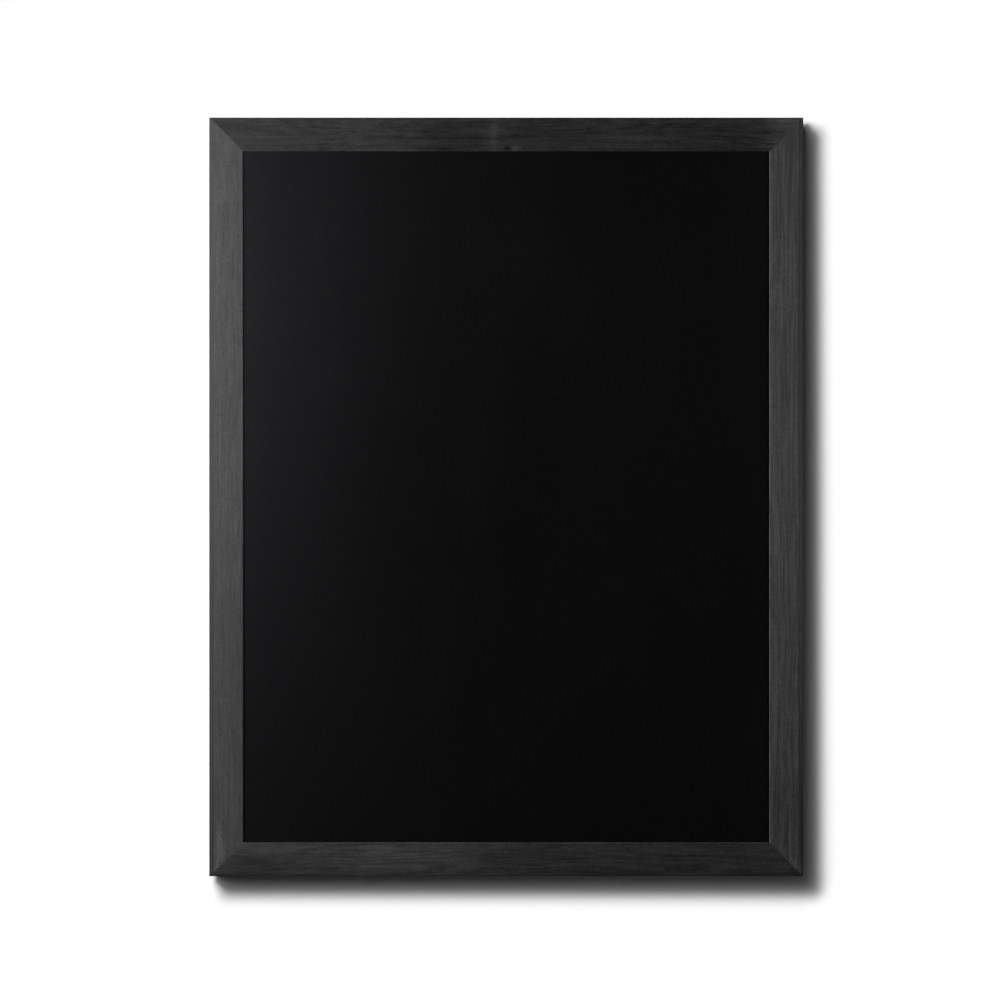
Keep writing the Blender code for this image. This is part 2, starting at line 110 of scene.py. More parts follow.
def addNode(tree, kind, inputs=None, **settings):
    node = tree.nodes.new(kind)
    for key, value in settings.items():
        setattr(node, key, value)
    for key, value in (inputs or {}).items():
        if isinstance(value, bpy.types.NodeSocket):
            tree.links.new(value, node.inputs[key])
        else:
            node.inputs[key].default_value = value
    return node


def newMaterial(name, roughness, metallic=0.0, specular=0.5):
    material = bpy.data.materials.new(name)
    material.use_nodes = True
    shader = material.node_tree.nodes["Principled BSDF"]
    shader.inputs["Roughness"].default_value = roughness
    shader.inputs["Metallic"].default_value = metallic
    shader.inputs["Specular IOR Level"].default_value = specular
    return material, material.node_tree, shader


def calc(tree, first, second=0.0, operation="ADD"):
    return addNode(tree, "ShaderNodeMath", {0: first, 1: second}, operation=operation).outputs[0]


def scaled(tree, value, factor, plus, clamp=False):
    # value times a factor, plus a term
    settings = {"operation": "MULTIPLY_ADD", "use_clamp": clamp}
    return addNode(tree, "ShaderNodeMath", {0: value, 1: factor, 2: plus}, **settings).outputs[0]


def partsOf(tree, vector):
    return addNode(tree, "ShaderNodeSeparateXYZ", {"Vector": vector}).outputs


def joined(tree, x, y, z):
    return addNode(tree, "ShaderNodeCombineXYZ", {0: x, 1: y, 2: z}).outputs[0]


def objectPlace(tree):
    return addNode(tree, "ShaderNodeTexCoord").outputs["Object"]


def lighter(tree, value, share):
    return calc(tree, value, calc(tree, 1.0, share), "MULTIPLY")


def darker(tree, value, share):
    return calc(tree, value, calc(tree, 1.0, share, "SUBTRACT"), "MULTIPLY")


def apart(tree, value, centre):
    return calc(tree, calc(tree, value, centre, "SUBTRACT"), operation="ABSOLUTE")


def awayFrom(tree, *sides):
    # distance in a plane: for each side its value, its value at the spot, and how much it counts
    flat = [calc(tree, calc(tree, value, at, "SUBTRACT"), factor, "MULTIPLY") for value, at, factor in sides]
    place = joined(tree, *flat, 0.0)
    return addNode(tree, "ShaderNodeVectorMath", {0: place}, operation="LENGTH").outputs["Value"]


def blendOf(tree, base, *terms):
    # base plus each texture's swing about a half, times its weight
    total = base
    for socket, weight in terms:
        total = calc(tree, scaled(tree, socket, weight, -0.5 * weight), total)
    return total


def noiseOf(tree, place, cells, detail, rough=0.5, distort=0.0, shift=(0, 0, 0)):
    # cells to a metre: one number, or three with a shift
    scale = cells
    if isinstance(cells, tuple):
        inputs = {"Vector": place, "Location": shift, "Scale": cells}
        place = addNode(tree, "ShaderNodeMapping", inputs).outputs[0]
        scale = 1.0
    inputs = {"Vector": place, "Scale": scale, "Detail": detail, "Roughness": rough, "Distortion": distort}
    return addNode(tree, "ShaderNodeTexNoise", inputs).outputs["Fac"]


def ramp(tree, value, low, high, toLow=0.0, toHigh=1.0, smooth=True):
    inputs = {"Value": value, "From Min": low, "From Max": high, "To Min": toLow, "To Max": toHigh}
    kind = "SMOOTHSTEP" if smooth else "LINEAR"
    return addNode(tree, "ShaderNodeMapRange", inputs, interpolation_type=kind).outputs[0]


def mixColour(tree, factor, first, second):
    first, second = [(*value, 1.0) if isinstance(value, tuple) else value for value in (first, second)]
    return addNode(tree, "ShaderNodeMix", {0: factor, 6: first, 7: second}, data_type="RGBA").outputs[2]


def coat(tree, shader, colour, rough, height, depth, strength):
    bump = addNode(tree, "ShaderNodeBump", {"Height": height, "Distance": depth, "Strength": strength})
    tree.links.new(colour, shader.inputs["Base Color"])
    tree.links.new(rough, shader.inputs["Roughness"])
    tree.links.new(bump.outputs["Normal"], shader.inputs["Normal"])


# Wood: black stain under a thin satin lacquer, grain running along each member

wood = {
    "dark": (0.0050, 0.0050, 0.0050),
    "light": (0.0440, 0.0440, 0.0440),
    "backTint": (0.040, 0.036, 0.032),  # thinner stain on the back
    "roughness": 0.52,
    "backRoughness": 0.26,  # how much rougher the back is
    "anisotropy": 0.80,
    "specular": 0.434,
    "bumpDepth": 0.13 * mm,
    "level": 0.47,  # between dark and light, before the grain's layers
    "streaks": 0.40,
    "tones": 0.32,
    "mottling": 0.66,
    "pores": -0.25,
    "ringCount": 28.0,
    "knotBend": 0.28,  # how far a knot pushes the growth rings aside
    "knotCore": (0.42, 0.85),  # its dark heart's share of its size, and how dark
    "wander": 0.012,
    # the thin painted lines of highlight and shade along the rim and the arris:
    "lineWidth": (0.5 * mm, 1.4 * mm),  # the thin lines' reach, full and faded out
    # the width of the painted strips of highlight and shade beside the mitres
    "mitreStrip": 4.0 * mm,
    "narrowing": 150.0 * mm,  # how far up from the low tip the painted edge shade is narrowed
    # how soft the inner side of the painted edge shade is
    "edgeShadeFade": 1.8 * mm,
    "endReach": (0.062, 0.026),  # where an end's tone starts and where it is full
    "endRagged": 0.06,
}

# The grain's layers: cells to a metre along the member, across it and into it
grainCells = {
    "wander": (7, 9, 9),
    "rings": (3.2, 26, 26),
    "fibre": (270, 700, 700),
    "line": (11, 560, 560),
    "streak": (9, 190, 190),
    "tone": (5, 34, 34),
    "mottle": (70, 150, 150),
    "pores": (330, 5200, 5200),
    "planer": (420, 12, 12),
    # waves of the painted shade along the outer round
    "edgeShadeWaves": (16, 3, 3),
}

# For each member, lengths in millimetres:
# "wander" how far the outer round strays in and out,
# "rings", "fine" and "line" how strong the growth rings, fibres and long lines are in the stain,
# "bump" how much the grain stands up in the light,
# "edge" the painted shade along the outer round, painted highlight where its depth is below zero:
# its reach, its depth at the low and the high end, waviness and how much the very edge gets back,
# "narrow" how much less it reaches at the low tip,
# "rim" and "arris" the thin painted lines along the outer rim and the inner arris,
# painted highlight above zero and painted shade below,
# "cross" the painted shade across the face, as how light the outer and the inner edge are,
# "ends" how pale the low and the high end,
# "mitres" the painted highlight and shade on the strips beside the low and the high mitre,
# "flares" light bands across,
# "knots" each knot's place along, from the edge, and size,
# "patches" each uneven spot's place along, from the edge, its half lengths and how pale it is
members = {
    "top_rail": {
        "grain": "X", "seed": 3.1, "wander": 0.4,
        "rings": 0.11, "fine": 0.95, "line": 0.80, "bump": 0.40,
        "edge": (6.0, -0.22, -0.22, 1.0, 0.0), "narrow": 0.0, "rim": 0.0, "arris": 0.0,
        "cross": (1.04, 0.92), "ends": (0.0, 0.62), "mitres": (-0.12, 0.10),
        "flares": [(-14.0, 8.0, 0.45)], "knots": [(1.6, 36.0, 12.0)],
        "patches": [
            (9.6, 36.5, 7.0, 4.5, 0.9), (-155.0, 20.0, 70.0, 60.0, 0.18),
            (-60.0, 22.0, 56.0, 60.0, -0.32), (57.0, 24.0, 75.0, 60.0, -0.26),
            (240.0, 24.0, 90.0, 60.0, -0.14), (338.0, 5.0, 24.0, 9.0, 0.38),
        ],
    },
    "bottom_rail": {
        "grain": "X", "seed": 11.7, "wander": 0.5,
        "rings": 0.19, "fine": 1.10, "line": 0.85, "bump": 0.75,
        "edge": (4.0, -0.30, -0.30, 1.0, 0.0), "narrow": 0.0, "rim": 0.0, "arris": 0.48,
        "cross": (0.82, 1.18), "ends": (-0.10, 0.0), "mitres": (0.0, 0.0),
        "flares": [], "knots": [],
        "patches": [
            (-294.0, 13.0, 50.0, 19.0, -0.46), (-112.0, 18.0, 110.0, 60.0, 0.36),
            (62.0, 30.0, 75.0, 22.0, -0.16), (215.0, 30.0, 120.0, 22.0, -0.20),
            (312.0, 32.0, 30.0, 14.0, -0.20),
        ],
    },
    "left_stile": {
        "grain": "Z", "seed": 23.4, "wander": 0.3,
        "rings": 0.12, "fine": 1.35, "line": 1.20, "bump": 0.80,
        "edge": (6.5, 0.80, 0.22, 0.6, 0.0), "narrow": 0.0, "rim": 0.0, "arris": 0.55,
        "cross": (1.0, 1.0), "ends": (0.0, 0.06), "mitres": (0.0, 0.20),
        "flares": [], "knots": [],
        "patches": [
            (-414.0, 12.4, 40.0, 9.0, 0.72), (-442.0, 6.0, 14.0, 16.0, 0.45),
            (-239.0, 34.0, 150.0, 15.0, -0.26), (300.0, 18.0, 220.0, 50.0, 0.09),
            (30.0, 18.0, 110.0, 50.0, 0.10), (-140.0, 18.0, 110.0, 50.0, -0.08),
        ],
    },
    "right_stile": {
        "grain": "Z", "seed": 37.9, "wander": 1.1,
        "rings": 0.16, "fine": 1.95, "line": 2.70, "bump": 0.80,
        "edge": (6.8, 0.80, 0.85, 3.0, 0.80), "narrow": 3.2, "rim": -0.62, "arris": 2.2,
        "cross": (0.98, 1.0), "ends": (0.25, 0.0), "mitres": (0.0, -0.24),
        "flares": [], "knots": [],
        "patches": [
            (-414.0, 14.0, 38.0, 15.0, 0.36), (-438.0, 6.0, 16.0, 18.0, 0.60),
            (420.0, 12.0, 34.0, 18.0, -0.40), (330.0, 20.0, 90.0, 50.0, -0.12),
            (391.0, 5.0, 15.0, 4.0, 0.90),
        ],
    },
}


def stainedWood(name):
    note = members[name]
    cells = grainCells
    material, tree, shader = newMaterial("stained_wood_" + name, wood["roughness"], specular=wood["specular"])
    coord = addNode(tree, "ShaderNodeTexCoord")
    parts = partsOf(tree, coord.outputs["Object"])
    along, across = (parts["X"], parts["Z"]) if note["grain"] == "X" else (parts["Z"], parts["X"])
    seed = note["seed"]
    place = joined(tree, along, across, parts["Y"])

    # the grain wanders a little as it runs
    wander = noiseOf(tree, place, cells["wander"], 2.0, shift=(seed, 0, 0))
    shift = scaled(tree, wander, wood["wander"], -wood["wander"] / 2)
    bent = joined(tree, along, calc(tree, across, shift), parts["Y"])

    # growth rings cut lengthwise: contour lines of a long slow field
    field = noiseOf(tree, bent, cells["rings"], 1.0, 0.4, shift=(0, seed, 0))
    fromEdge = depthFromEdge(tree, name, across)
    for knot in note["knots"]:
        away = fromKnot(tree, along, fromEdge, name, knot)
        field = calc(tree, field, ramp(tree, away, knot[2] * mm, 0.0, 0.0, wood["knotBend"]))
    ring = calc(tree, calc(tree, field, wood["ringCount"], "MULTIPLY"), 1.0, "PINGPONG")

    fibre = noiseOf(tree, bent, cells["fibre"], 3.0, 0.62, shift=(seed, seed, 0))
    line = noiseOf(tree, bent, cells["line"], 2.0, 0.6, shift=(seed, 6, seed))
    streak = noiseOf(tree, bent, cells["streak"], 2.0, 0.55, shift=(0, seed, seed))
    tone = noiseOf(tree, place, cells["tone"], 2.0, 0.5, shift=(seed, 0, seed))
    mottle = noiseOf(tree, place, cells["mottle"], 3.0, 0.6, shift=(seed, 4, 0))
    pores = noiseOf(tree, bent, cells["pores"], 1.0, shift=(1, seed, 2))
    pores = ramp(tree, pores, 0.62, 0.74)

    shade = blendOf(
        tree,
        wood["level"],
        (fibre, note["fine"]),
        (line, note["line"]),
        (streak, wood["streaks"]),
        (tone, wood["tones"]),
        (mottle, wood["mottling"]),
        (ramp(tree, ring, 0.15, 0.95), note["rings"]),
    )
    shade = scaled(tree, pores, wood["pores"], shade, clamp=True)
    colour = mixColour(tree, shade, wood["dark"], wood["light"])
    inputs = {0: colour, "Scale": stainAndPaintedLight(tree, name, along, fromEdge, place, mottle)}
    colour = addNode(tree, "ShaderNodeVectorMath", inputs, operation="SCALE").outputs[0]

    # the back has thin stain, no lacquer and the planer's marks
    normal = partsOf(tree, coord.outputs["Normal"])
    back = ramp(tree, normal["Y"], 0.55, 0.9)
    planer = noiseOf(tree, place, cells["planer"], 2.0, shift=(2, seed, 5))
    backShade = blendOf(tree, 0.35, (fibre, 0.9), (planer, 0.5), (tone, 0.6))
    backColour = mixColour(tree, backShade, wood["dark"], wood["backTint"])
    colour = mixColour(tree, back, colour, backColour)

    rough = blendOf(tree, wood["roughness"], (fibre, 0.14), (line, 0.12), (tone, 0.08))
    rough = scaled(tree, back, wood["backRoughness"], rough)
    height = blendOf(
        tree, 0.5, (fibre, 0.7), (line, 0.7), (streak, 0.3), (mottle, 0.25), (ring, 0.12), (pores, -0.5)
    )
    coat(tree, shader, colour, rough, height, wood["bumpDepth"], note["bump"])

    # light spreads across the grain, so a stile and a rail shine unlike
    direction = (1, 0, 0) if note["grain"] == "X" else (0, 0, 1)
    shader.inputs["Anisotropic"].default_value = wood["anisotropy"]
    shader.inputs["Anisotropic Rotation"].default_value = 0.25
    turned = {"vector_type": "VECTOR", "convert_from": "OBJECT", "convert_to": "WORLD"}
    tangent = addNode(tree, "ShaderNodeVectorTransform", {"Vector": direction}, **turned)
    tree.links.new(tangent.outputs[0], shader.inputs["Tangent"])
    return material


def spanOf(name):
    # half a member's length and the place of its middle, then the same for the board across it
    if members[name]["grain"] == "X":
        return halfWidth, middleX, halfHeight, middleZ
    return halfHeight, middleZ, halfWidth, middleX


def depthFromEdge(tree, name, across):
    half, centre = spanOf(name)[2:]
    return calc(tree, half, apart(tree, across, centre), "SUBTRACT")


def fromKnot(tree, along, fromEdge, name, knot):
    # distance from a knot's heart, counted shorter along the grain
    heart = spanOf(name)[1] + knot[0] * mm
    return awayFrom(tree, (along, heart, 0.6), (fromEdge, knot[1] * mm, 1.0))


def stainAndPaintedLight(tree, name, along, fromEdge, place, mottle):
    # how light each place of a member is, about one: the stain, with painted shade and highlight along the
    # outer round, the rim, the arris, the mitres and across the face
    note = members[name]
    half, centre = spanOf(name)[:2]
    # painted shade across the face: how light the outer and the inner edge are, changing evenly between them
    depth = ramp(tree, fromEdge, 0.0, moulding["width"], *note["cross"], smooth=False)

    # painted shade along the outer round, painted highlight where its depth is below zero; near the very edge
    # some of it is taken back
    reach, darkLow, darkHigh, wave, recovery = note["edge"]
    if darkLow or darkHigh:
        dark = ramp(tree, along, centre - half, centre + half, darkLow, darkHigh, smooth=False)
        waves = noiseOf(tree, place, grainCells["edgeShadeWaves"], 3.0, 0.55, shift=(note["seed"], 0, 3))
        wavy = calc(tree, fromEdge, scaled(tree, waves, -wave * mm * 2, wave * mm))
        if note["narrow"]:
            tip = centre - half
            inward = ramp(tree, along, tip, tip + wood["narrowing"], note["narrow"] * mm, 0.0)
            wavy = calc(tree, wavy, inward)
        edgeShade = ramp(tree, wavy, reach * mm, reach * mm - wood["edgeShadeFade"], 0.0, dark)
        back = ramp(tree, wavy, reach * 0.62 * mm, reach * 0.30 * mm, 1.0, 1.0 - recovery)
        depth = darker(tree, depth, calc(tree, edgeShade, back, "MULTIPLY"))

    # thin painted lines along the outer rim and the inner arris: painted highlight above zero, painted shade
    # below
    thin, none = wood["lineWidth"]
    width = moulding["width"]
    for amount, near, far in ((note["rim"], thin, none), (note["arris"], width - thin, width - none)):
        if amount:
            depth = lighter(tree, depth, ramp(tree, fromEdge, far, near, 0.0, amount))

    # painted highlight and shade on the strips beside the mitres
    fromMitre = calc(tree, calc(tree, half, apart(tree, along, centre), "SUBTRACT"), fromEdge, "SUBTRACT")
    sides = calc(tree, along, centre, "GREATER_THAN")
    for side, amount in enumerate(note["mitres"]):
        if amount:
            strip = ramp(tree, fromMitre, wood["mitreStrip"], wood["mitreStrip"] / 3, 0.0, amount)
            here = sides if side else calc(tree, 1.0, sides, "SUBTRACT")
            depth = lighter(tree, depth, calc(tree, strip, here, "MULTIPLY"))

    # paler or darker ends
    ragged = scaled(tree, mottle, wood["endRagged"], -wood["endRagged"] / 2)
    placeAlong = calc(tree, along, ragged)
    for side, amount in zip((-1, 1), note["ends"]):
        if amount:
            fromTip = apart(tree, placeAlong, centre + side * half)
            depth = lighter(tree, depth, ramp(tree, fromTip, *wood["endReach"], 0.0, amount))

    # flares, knots and uneven spots
    for alongAt, width, amount in note["flares"]:
        gap = apart(tree, along, centre + alongAt * mm)
        depth = lighter(tree, depth, ramp(tree, gap, width * mm, 0.0, 0.0, amount))
    heart, amount = wood["knotCore"]
    for knot in note["knots"]:
        away = fromKnot(tree, along, fromEdge, name, knot)
        depth = darker(tree, depth, ramp(tree, away, knot[2] * heart * mm, 0.0, 0.0, amount))
    nearby = calc(tree, along, calc(tree, ragged, 0.25, "MULTIPLY"))
    for alongAt, acrossAt, long, wide, amount in note["patches"]:
        sideways = (fromEdge, acrossAt * mm, 1 / (wide * mm))
        away = awayFrom(tree, (nearby, centre + alongAt * mm, 1 / (long * mm)), sideways)
        depth = lighter(tree, depth, ramp(tree, away, 1.0, 0.25, 0.0, amount))
    return depth


# Moulding: the section that the four members share, softened by time

moulding = {
    "outerRound": 6.5 * mm,
    "outerDrop": 3.0 * mm,
    "innerRound": 1.5 * mm,
    "innerDrop": 1.0 * mm,
    "crown": 0.5 * mm,
    "backArris": 0.6 * mm,
    "width": 40.0 * mm,
    "mitreGap": 0.05 * mm,
    "mitreSoft": 0.14 * mm,  # how far the face drops at a mitre's arris
    "mitreReach": 0.6 * mm,
    "spacing": 2.6 * mm,  # between cross sections
    "relief": 0.05 * mm,  # raised grain
    "reliefCells": (14, 420),  # to a metre along and across
    "warp": 0.06 * mm,
    "warpCells": (6, 60),
    "wanderCells": (13, 55),  # slow and quick waves of the outer round
    "quickWaves": 0.35,
    "wanderReach": 2.2,  # how far in the waves are felt, in outer rounds
    "wanderFoot": 0.45,  # the share of the thickness that stays straight
    "reliefFoot": 0.7,  # and the share without raised grain
    "sideRelief": 0.4,
    "closeStations": (1.0, 0.55, 0.25, 0.1),  # cross sections at a mitre, in its reach
    "crease": 32,  # degrees from which an edge stays sharp
}

# Faces in each stretch of the section
steps = {"round": 10, "inner": 6, "face": 26, "side": 4, "lip": 3, "floor": 3, "wall": 5, "back": 10}


def objectFrom(shell, name):
    mesh = bpy.data.meshes.new(name)
    shell.to_mesh(mesh)
    shell.free()
    return newObject(name, mesh)


def bridge(shell, first, second):
    # faces between two closed rows of points
    for i in range(len(first)):
        j = (i + 1) % len(first)
        shell.faces.new((first[i], first[j], second[j], second[i]))


def paint(item, material):
    item.data.materials.clear()
    item.data.materials.append(material)


def run(start, end, count):
    # points from start towards end, without the end
    return [
        (start[0] + (end[0] - start[0]) * i / count, start[1] + (end[1] - start[1]) * i / count)
        for i in range(count)
    ]


def mouldingSection():
    m = moulding
    arris = m["backArris"]
    thick = woodBackY - frontY
    shoulder = thick - m["crown"]
    sideTop = shoulder - m["outerDrop"]
    lipTop = shoulder - m["innerDrop"]
    lipFoot = woodBackY - rebateFloorY
    wall = rebateWallX - boardLow.x
    points = run((arris, 0), (0, arris), 2)
    points += run((0, arris), (0, sideTop), steps["side"])
    for i in range(steps["round"]):
        angle = math.pi / 2 * i / steps["round"]
        x = m["outerRound"] * (1 - math.cos(angle))
        points.append((x, sideTop + m["outerDrop"] * math.sin(angle)))
    faceEnd = m["width"] - m["innerRound"]
    for i in range(steps["face"]):
        share = i / steps["face"]
        x = m["outerRound"] + (faceEnd - m["outerRound"]) * share
        points.append((x, thick - m["crown"] * (2 * share - 1) ** 2))
    for i in range(steps["inner"]):
        angle = math.pi / 2 * i / steps["inner"]
        x = faceEnd + m["innerRound"] * math.sin(angle)
        points.append((x, shoulder - m["innerDrop"] * (1 - math.cos(angle))))
    points += run((m["width"], lipTop), (m["width"], lipFoot), steps["lip"])
    points += run((m["width"], lipFoot), (wall, lipFoot), steps["floor"])
    points += run((wall, lipFoot), (wall, arris), steps["wall"])
    points += run((wall, arris), (wall - arris, 0), 2)
    points += run((wall - arris, 0), (arris, 0), steps["back"])
    return points


def stationShares(reach):
    # even stations along the member, with close ones at the mitres
    count = int(2 * reach / moulding["spacing"])
    shares = [-1 + 2 * i / count for i in range(1, count)]
    close = [1 - moulding["mitreReach"] * k / reach for k in moulding["closeStations"]]
    return [-1.0] + [-s for s in reversed(close)] + shares + close + [1.0]


def toWorld(name, along, across, height):
    y = woodBackY - height
    if name == "top_rail":
        return (middleX + along, y, boardHigh.z - across)
    if name == "bottom_rail":
        return (middleX + along, y, boardLow.z + across)
    if name == "left_stile":
        return (boardLow.x + across, y, middleZ + along)
    return (boardHigh.x - across, y, middleZ + along)


def grainRelief(name, along, across):
    seed = members[name]["seed"]
    long, wide = moulding["reliefCells"]
    fine = noise.noise(Vector((along * long, across * wide, seed)))
    long, wide = moulding["warpCells"]
    slow = noise.noise(Vector((along * long, across * wide, seed + 5)))
    return moulding["relief"] * (0.5 - 0.5 * fine) + moulding["warp"] * (0.5 - 0.5 * slow)


def edgeSlide(name, along):
    # how far the outer round strays at this place along the member
    seed, wander = members[name]["seed"], members[name]["wander"] * mm
    slow, quick = moulding["wanderCells"]
    slide = noise.noise(Vector((along * slow, seed, 0.5))) * wander
    return slide + noise.noise(Vector((along * quick, seed, 2.5))) * wander * moulding["quickWaves"]


def shapeMember(name):
    m = moulding
    reach = spanOf(name)[0]
    section = mouldingSection()
    thick = woodBackY - frontY
    joint = m["mitreGap"] / 2 * math.sqrt(2)
    shell = bmesh.new()
    rings = []
    for share in stationShares(reach):
        ringVerts = []
        slide = edgeSlide(name, share * reach)
        fromMitre = (1 - abs(share)) * reach
        soft = m["mitreSoft"] * max(0.0, 1 - fromMitre / m["mitreReach"]) ** 2
        for across, height in section:
            x, h = across, height
            if height > m["backArris"] * 2 and across < m["outerRound"] * m["wanderReach"]:
                fade = 1 - across / (m["outerRound"] * m["wanderReach"])
                lift = max(0.0, height / thick - m["wanderFoot"]) / (1 - m["wanderFoot"])
                x = across + slide * lift * fade * min(1, across / m["outerRound"])
            along = share * (reach - joint - x)
            front = max(0.0, (h / thick - m["reliefFoot"]) / (1 - m["reliefFoot"]))
            if front > 0:
                h -= (grainRelief(name, along, x) + soft) * front
            if across == 0:
                x += m["sideRelief"] * grainRelief(name, along, h * 3)
                along = share * (reach - joint - x)
            ringVerts.append(shell.verts.new(toWorld(name, along, x, h)))
        rings.append(ringVerts)
    for first, second in zip(rings, rings[1:]):
        bridge(shell, first, second)
    shell.faces.new(rings[0])
    shell.faces.new(rings[-1])
    bmesh.ops.recalc_face_normals(shell, faces=shell.faces)
    return objectFrom(shell, name + "_wood")


# Slots in the wood, cut to the frame's nails, tabs and screws

cuts = {
    "nailRoom": 0.25 * mm,
    "tabRoom": 0.2 * mm,
    "through": 2.0 * mm,  # how far a cutter passes the wood's back
    "pilot": 1.7 * mm,  # radius of the screws' holes
    "pilotTip": 0.3 * mm,  # how much deeper than the screw
    "sameSide": 0.98,  # cosine above which two faces count as one side
}


def solidOf(node):
    shell = bmesh.new()
    shell.from_mesh(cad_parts[node].data)
    bmesh.ops.remove_doubles(shell, verts=shell.verts, dist=0.002 * mm)
    bmesh.ops.dissolve_limit(shell, angle_limit=math.radians(0.5), verts=shell.verts, edges=shell.edges)
    return shell


def grow(shell, clearance):
    moves = {}
    for vert in shell.verts:
        normals = []
        for face in vert.link_faces:
            if all(face.normal.dot(n) < cuts["sameSide"] for n in normals):
                normals.append(face.normal.copy())
        found = np.linalg.lstsq(np.array(normals), np.full(len(normals), clearance), rcond=None)[0]
        moves[vert] = Vector(found)
    for vert, move in moves.items():
        vert.co += move


def slotCutter(nodes, clearance, openBack):
    whole = bmesh.new()
    for node in nodes:
        shell = solidOf(node)
        backmost = max(v.co.y for v in shell.verts)
        ends = [v for v in shell.verts if v.co.y > backmost - 0.1 * mm]
        grow(shell, clearance)
        if openBack:
            for vert in ends:
                vert.co.y = woodBackY + cuts["through"]
        mesh = bpy.data.meshes.new("slot")
        shell.to_mesh(mesh)
        shell.free()
        whole.from_mesh(mesh)
        bpy.data.meshes.remove(mesh)
    return objectFrom(whole, "slots")


def applyCut(item, cutter, selfCrossing=False):
    modifier = item.modifiers.new("cut", "BOOLEAN")
    modifier.operation = "DIFFERENCE"
    modifier.solver = "EXACT"
    modifier.use_self = selfCrossing
    modifier.object = cutter
    bakeModifiers(item)
    bpy.data.objects.remove(cutter, do_unlink=True)


def bakeModifiers(item):
    bpy.context.view_layer.update()
    graph = bpy.context.evaluated_depsgraph_get()
    mesh = bpy.data.meshes.new_from_object(item.evaluated_get(graph))
    item.modifiers.clear()
    old = item.data
    item.data = mesh
    bpy.data.meshes.remove(old)
    mesh.name = item.name


def smooth(item, degrees):
    item.data.shade_smooth()
    item.data.set_sharp_from_angle(angle=math.radians(degrees))


def pilotCutter(nodes):
    whole = bmesh.new()
    for node in nodes:
        low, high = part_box(node)
        centre = (low + high) / 2
        length = woodBackY - low.y + cuts["through"] + cuts["pilotTip"]
        middle = Vector((centre.x, low.y - cuts["pilotTip"] + length / 2, centre.z))
        turn = Matrix.Translation(middle) @ Matrix.Rotation(math.radians(90), 4, "X")
        size = {"radius1": cuts["pilot"], "radius2": cuts["pilot"], "depth": length}
        bmesh.ops.create_cone(whole, cap_ends=True, segments=32, matrix=turn, **size)
    return objectFrom(whole, "pilots")


def makeMembers():
    names = list(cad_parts)
    for name in members:
        item = shapeMember(name)
        side = name.split("_")[0]
        nails = [n for n in names if n.startswith("v_nail") and side in n.split("_")[2:4]]
        applyCut(item, slotCutter(nails, cuts["nailRoom"], True))
        tabs = [n for n in names if n.startswith("panel_tab_" + name)]
        applyCut(item, slotCutter(tabs, cuts["tabRoom"], False))
        screws = [n for n in names if n.endswith("screw") and n.startswith(side)]
        if screws:
            applyCut(item, pilotCutter(screws))
        smooth(item, moulding["crease"])
        paint(item, stainedWood(name))
        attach(item, "board")
        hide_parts(name)
        print("member", name, len(item.data.polygons), "faces")


# Writing sheet and backing board

sheet = {
    "colour": (0.0014, 0.0014, 0.00145),
    "worn": (0.0020, 0.0020, 0.0021),  # where it has been wiped most
    "roughness": 0.32,
    "specular": 0.248,
    "shineTint": (0.91, 0.91, 1.0, 1.0),
    "polished": (-56 * mm, 150 * mm, 330 * mm, 0.034),  # across, half sizes, roughness it lost
    "wipes": (5, 5, 3),  # cells to a metre across, in and up
    "grit": 3200,
    "fineGrit": 9000,
}


def writingSurface():
    material, tree, shader = newMaterial("slate_paint", sheet["roughness"], specular=sheet["specular"])
    shader.inputs["Specular Tint"].default_value = sheet["shineTint"]
    place = objectPlace(tree)
    wiped = noiseOf(tree, place, sheet["wipes"], 4.0, 0.55, 0.6)
    grit = noiseOf(tree, place, sheet["grit"], 3.0, 0.6)
    fineGrit = noiseOf(tree, place, sheet["fineGrit"], 2.0, 0.5)
    colour = mixColour(tree, ramp(tree, wiped, 0.4, 0.75), sheet["colour"], sheet["worn"])
    rough = blendOf(tree, sheet["roughness"], (wiped, 0.04), (grit, 0.03))
    # years of wiping have polished the middle
    across, wide, tall, lost = sheet["polished"]
    parts = partsOf(tree, place)
    sideways = (parts["X"], middleX + across, 1 / wide)
    away = awayFrom(tree, sideways, (parts["Z"], middleZ, 1 / tall))
    rough = calc(tree, rough, ramp(tree, away, 1.3, 0.2, 0.0, lost), "SUBTRACT")
    coat(tree, shader, colour, rough, blendOf(tree, 0.5, (grit, 0.6), (fineGrit, 0.4)), 0.02 * mm, 0.5)
    return material


board = {
    "colour": (0.120, 0.072, 0.040),
    "pale": (0.290, 0.182, 0.104),
    "roughness": 0.62,
    "screenPitch": 1.3 * mm,
    "fibres": (900, 900, 260),  # cells to a metre across, in and up
    "clumps": (210, 210, 120),
    "flecks": (420, 420, 1500),
    "cloud": 14,
}


